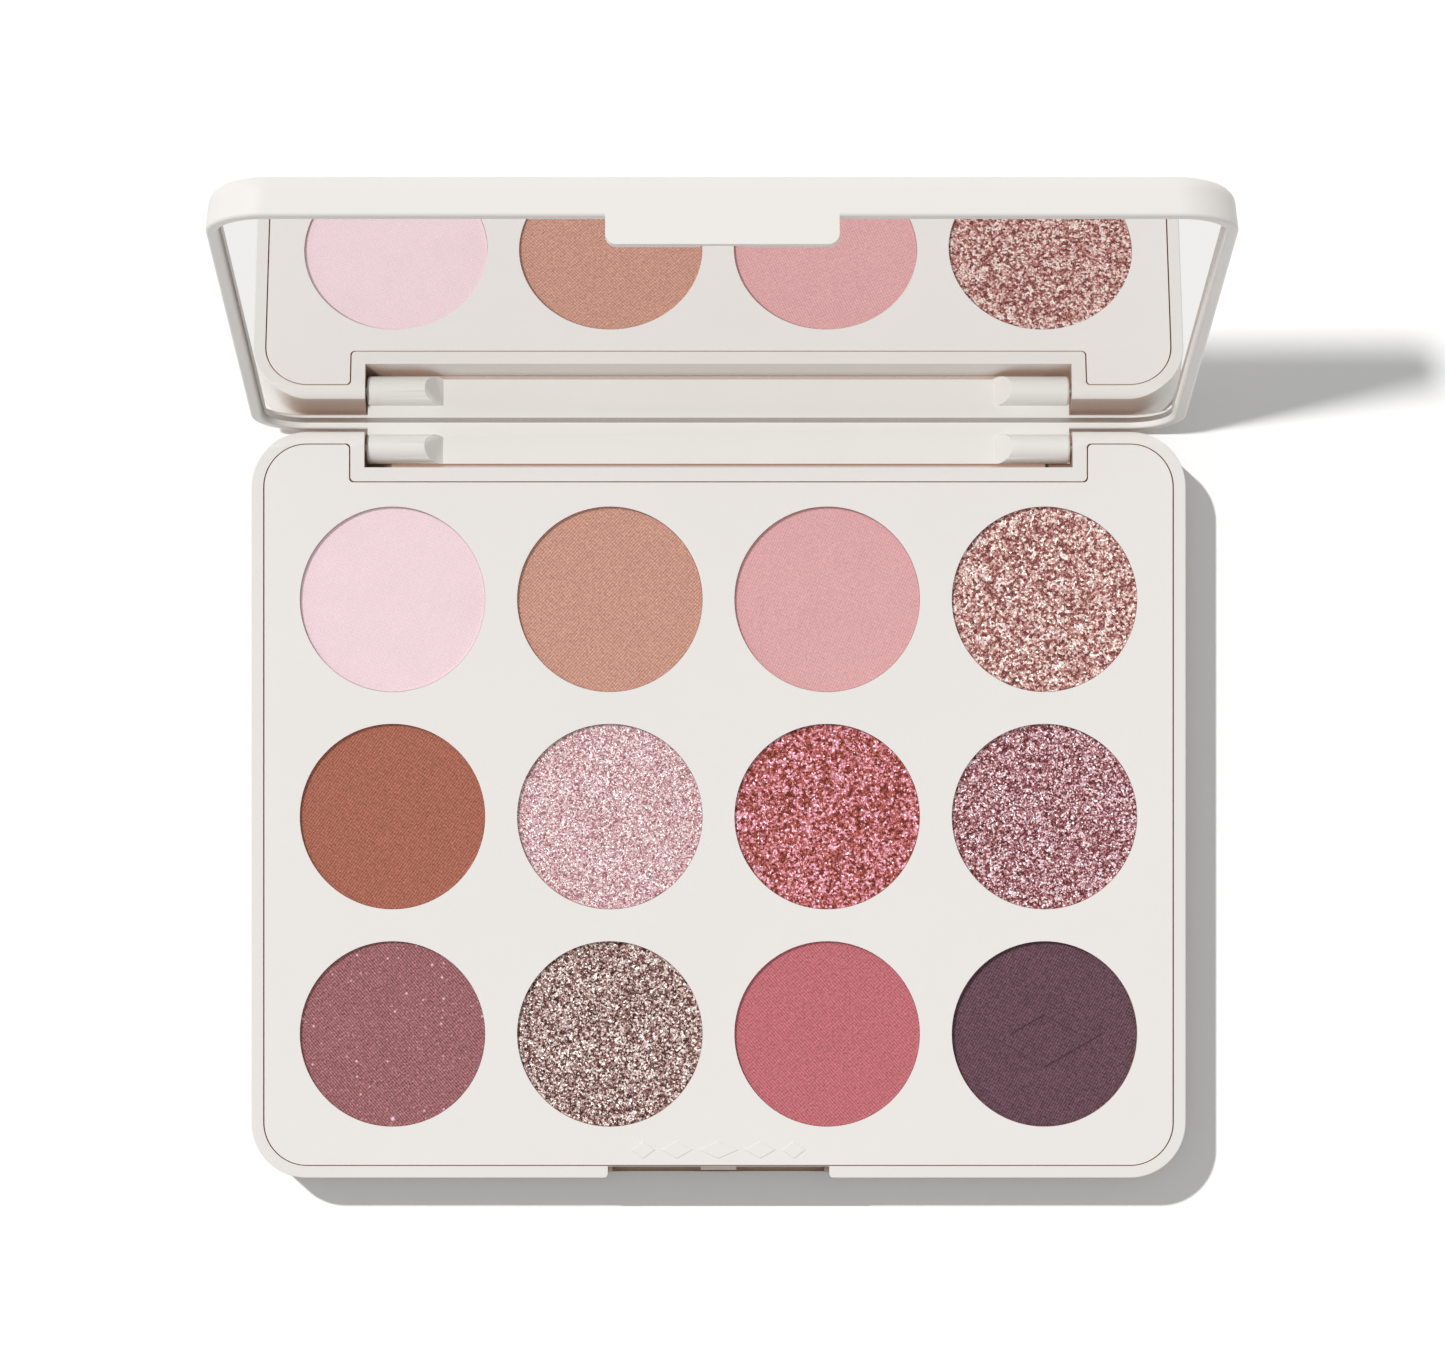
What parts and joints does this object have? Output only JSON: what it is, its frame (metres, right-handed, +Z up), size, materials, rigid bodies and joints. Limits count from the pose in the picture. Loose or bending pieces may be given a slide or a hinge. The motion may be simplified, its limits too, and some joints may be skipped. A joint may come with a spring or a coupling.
{
  "type": "eyeshadow palette",
  "caption": "Slim white plastic eyeshadow palette with round pans of pressed powder under a flush tray, a hinged lid with a full mirror, a front tab and a thumb notch.",
  "frame": {"origin": "centre of the base's flat underside", "axes": "+Z up out of the pans, +Y towards the hinge at the back, +X to the right for a person facing the mirror; the lid stands open"},
  "size_m": [0.129, 0.1306, 0.1044],
  "materials": {
    "shell_plastic": "satin",
    "tray_plastic": "satin",
    "pan_metal": "satin",
    "pin_steel": "satin",
    "mirror_glass": "polished",
    "tape_foam": "matte",
    "glue": "matte",
    "powder_pale_pink": "matte",
    "powder_tan": "matte",
    "powder_dusty_pink": "matte",
    "powder_rose_gold": "matte",
    "powder_chestnut": "matte",
    "powder_light_pink": "matte",
    "powder_copper_rose": "matte",
    "powder_mauve_glitter": "matte",
    "powder_mauve_brown": "matte",
    "powder_champagne": "matte",
    "powder_raspberry": "matte",
    "powder_plum": "matte"
  },
  "bodies": {
    "base": {"base_shell": "shell_plastic", "pan_tray": "tray_plastic", "pan_r1c1": "pan_metal", "glue_dot_r1c1": "glue", "powder_r1c1": "powder_pale_pink", "pan_r1c2": "pan_metal", "glue_dot_r1c2": "glue", "powder_r1c2": "powder_tan", "pan_r1c3": "pan_metal", "glue_dot_r1c3": "glue", "powder_r1c3": "powder_dusty_pink", "pan_r1c4": "pan_metal", "glue_dot_r1c4": "glue", "powder_r1c4": "powder_rose_gold", "pan_r2c1": "pan_metal", "glue_dot_r2c1": "glue", "powder_r2c1": "powder_chestnut", "pan_r2c2": "pan_metal", "glue_dot_r2c2": "glue", "powder_r2c2": "powder_light_pink", "pan_r2c3": "pan_metal", "glue_dot_r2c3": "glue", "powder_r2c3": "powder_copper_rose", "pan_r2c4": "pan_metal", "glue_dot_r2c4": "glue", "powder_r2c4": "powder_mauve_glitter", "pan_r3c1": "pan_metal", "glue_dot_r3c1": "glue", "powder_r3c1": "powder_mauve_brown", "pan_r3c2": "pan_metal", "glue_dot_r3c2": "glue", "powder_r3c2": "powder_champagne", "pan_r3c3": "pan_metal", "glue_dot_r3c3": "glue", "powder_r3c3": "powder_raspberry", "pan_r3c4": "pan_metal", "glue_dot_r3c4": "glue", "powder_r3c4": "powder_plum", "hinge_pin_left": "pin_steel", "hinge_pin_right": "pin_steel"},
    "lid": {"lid_shell": "shell_plastic", "mirror": "mirror_glass", "mirror_tape_left": "tape_foam", "mirror_tape_right": "tape_foam"}
  },
  "joints": [
    {"name": "lid_hinge", "type": "hinge", "parent": "base", "child": "lid", "pos_m": [0, 0.0492, 0.00595], "axis": [-1, 0, 0], "range_deg": [-102.5, 0]}
  ]
}
